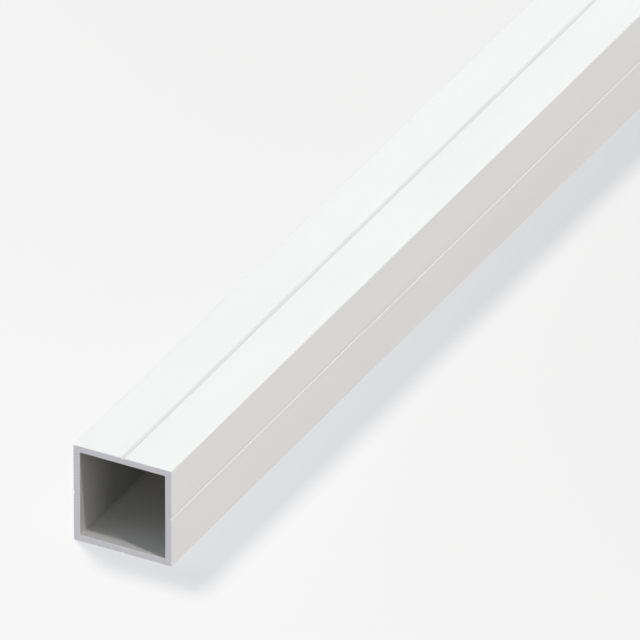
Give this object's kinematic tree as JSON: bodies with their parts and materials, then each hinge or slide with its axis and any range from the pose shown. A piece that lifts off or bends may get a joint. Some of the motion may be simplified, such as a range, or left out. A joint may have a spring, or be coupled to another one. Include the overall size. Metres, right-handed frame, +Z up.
{
  "type": "pvc square tube",
  "caption": "Straight white PVC square tube with a thin wall, an open square bore and a fine V groove down the middle of each face.",
  "frame": {"origin": "under the middle of the tube, on the surface that it lies on", "axes": "+X along the tube, +Y across it, +Z up out of the top face"},
  "size_m": [1, 0.0234, 0.0235],
  "materials": {
    "white_pvc": "satin"
  },
  "bodies": {
    "root": {"square_tube": "white_pvc"}
  },
  "joints": []
}
